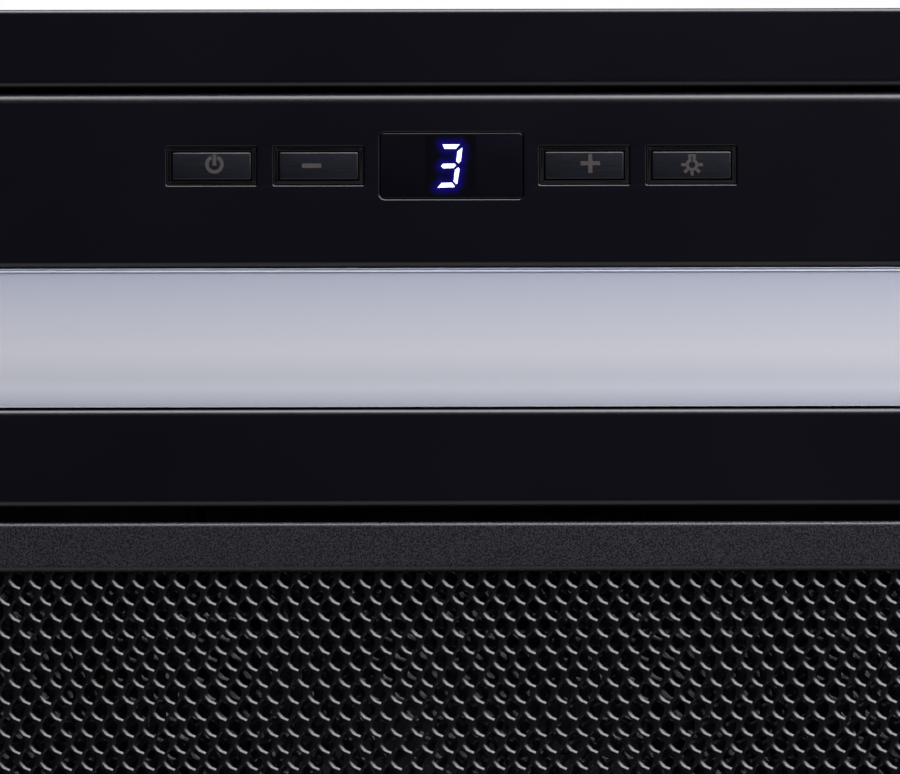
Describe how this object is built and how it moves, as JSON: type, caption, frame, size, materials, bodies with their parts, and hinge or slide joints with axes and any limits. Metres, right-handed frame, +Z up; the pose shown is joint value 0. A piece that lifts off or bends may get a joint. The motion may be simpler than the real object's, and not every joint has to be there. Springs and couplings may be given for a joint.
{
  "type": "range hood insert",
  "caption": "Built-in range hood insert: black underside with push buttons, digit display, full-width light bar, hinged mesh grease filter, blower and damped duct collar.",
  "frame": {"origin": "middle of the visible underside, in the plane of its flat faces, which is the lowest plane", "axes": "+X to the right along the width, -Y towards the cook at the control edge, +Z up into the cabinet"},
  "size_m": [0.53, 0.34, 0.25],
  "materials": {
    "satin_black_steel": "satin black powder-coated steel",
    "textured_black_steel": "fine textured black powder coat on steel",
    "coated_mesh": "black coated expanded metal",
    "galvanised_steel": "galvanised sheet steel",
    "black_plastic": "moulded black plastic",
    "button_plastic": "bluish black moulded caps with fine grain",
    "smoked_lens": "polished smoked acrylic",
    "frosted_acrylic": "frosted acrylic",
    "grey_plastic": "moulded grey plastic",
    "circuit_board": "glass-fibre board with green solder mask",
    "white_board": "aluminium board with white solder mask",
    "motor_paint": "dark grey paint on steel",
    "bright_steel": "bright drawn steel",
    "aluminium": "plain aluminium",
    "cable_sheath": "black PVC sheath"
  },
  "bodies": {
    "root": {"trim_flange": "satin_black_steel", "underside_panel": "satin_black_steel", "button_carrier": "black_plastic", "display_lens": "smoked_lens", "digit_module": "black_plastic", "control_board": "circuit_board", "control_cover": "black_plastic", "switch_power": "black_plastic", "switch_minus": "black_plastic", "switch_plus": "black_plastic", "switch_light": "black_plastic", "light_diffuser": "frosted_acrylic", "light_tray": "galvanised_steel", "led_strip": "white_board", "front_wall": "galvanised_steel", "rear_wall": "galvanised_steel", "left_wall": "galvanised_steel", "right_wall": "galvanised_steel", "top_panel": "galvanised_steel", "bay_divider": "galvanised_steel", "panel_bracket_left": "galvanised_steel", "panel_bracket_right": "galvanised_steel", "hanger_left": "galvanised_steel", "hanger_right": "galvanised_steel", "scroll_wrap": "galvanised_steel", "scroll_side_left": "galvanised_steel", "scroll_side_right": "galvanised_steel", "motor": "motor_paint", "motor_bracket": "galvanised_steel", "duct_collar": "galvanised_steel", "damper_rod": "bright_steel", "power_unit": "grey_plastic", "light_driver": "grey_plastic", "capacitor": "aluminium", "capacitor_strap": "galvanised_steel", "junction_box": "galvanised_steel", "junction_cover": "galvanised_steel", "cable_gland": "black_plastic", "supply_lead": "cable_sheath", "motor_lead": "cable_sheath", "light_lead": "cable_sheath", "display_ribbon": "grey_plastic"},
    "power_button": {"button_power": "button_plastic"},
    "minus_button": {"button_minus": "button_plastic"},
    "plus_button": {"button_plus": "button_plastic"},
    "light_button": {"button_light": "button_plastic"},
    "filter": {"filter_frame": "textured_black_steel", "filter_mesh_front": "coated_mesh", "filter_mesh_core": "coated_mesh", "filter_mesh_back": "coated_mesh", "filter_hook_left": "textured_black_steel", "filter_hook_right": "textured_black_steel", "latch_housing": "black_plastic", "latch_spring": "bright_steel"},
    "latch": {"latch_slide": "black_plastic"},
    "blower_wheel": {"impeller": "galvanised_steel", "motor_shaft": "bright_steel"},
    "front_flap": {"damper_flap_front": "aluminium"},
    "rear_flap": {"damper_flap_rear": "aluminium"}
  },
  "joints": [
    {"name": "power_press", "type": "slide", "parent": "root", "child": "power_button", "axis": [0, 0, 1], "range_m": [0, 0.001], "stiffness_N_per_m": 300},
    {"name": "minus_press", "type": "slide", "parent": "root", "child": "minus_button", "axis": [0, 0, 1], "range_m": [0, 0.001], "stiffness_N_per_m": 300},
    {"name": "plus_press", "type": "slide", "parent": "root", "child": "plus_button", "axis": [0, 0, 1], "range_m": [0, 0.001], "stiffness_N_per_m": 300},
    {"name": "light_press", "type": "slide", "parent": "root", "child": "light_button", "axis": [0, 0, 1], "range_m": [0, 0.001], "stiffness_N_per_m": 300},
    {"name": "filter_swing", "type": "hinge", "parent": "root", "child": "filter", "pos_m": [0, -0.0229, 0.0113], "axis": [-1, 0, 0], "range_deg": [0, 25]},
    {"name": "latch_draw", "type": "slide", "parent": "filter", "child": "latch", "axis": [0, -1, 0], "range_m": [0, 0.005], "stiffness_N_per_m": 200, "deforming": ["latch_spring"]},
    {"name": "wheel_spin", "type": "hinge", "parent": "root", "child": "blower_wheel", "pos_m": [0, 0.035, 0.106], "axis": [1, 0, 0], "continuous": true},
    {"name": "front_flap_lift", "type": "hinge", "parent": "root", "child": "front_flap", "pos_m": [0, 0.062, 0.2103], "axis": [-1, 0, 0], "range_deg": [0, 75]},
    {"name": "rear_flap_lift", "type": "hinge", "parent": "root", "child": "rear_flap", "pos_m": [0, 0.062, 0.2103], "axis": [1, 0, 0], "range_deg": [0, 75]}
  ]
}
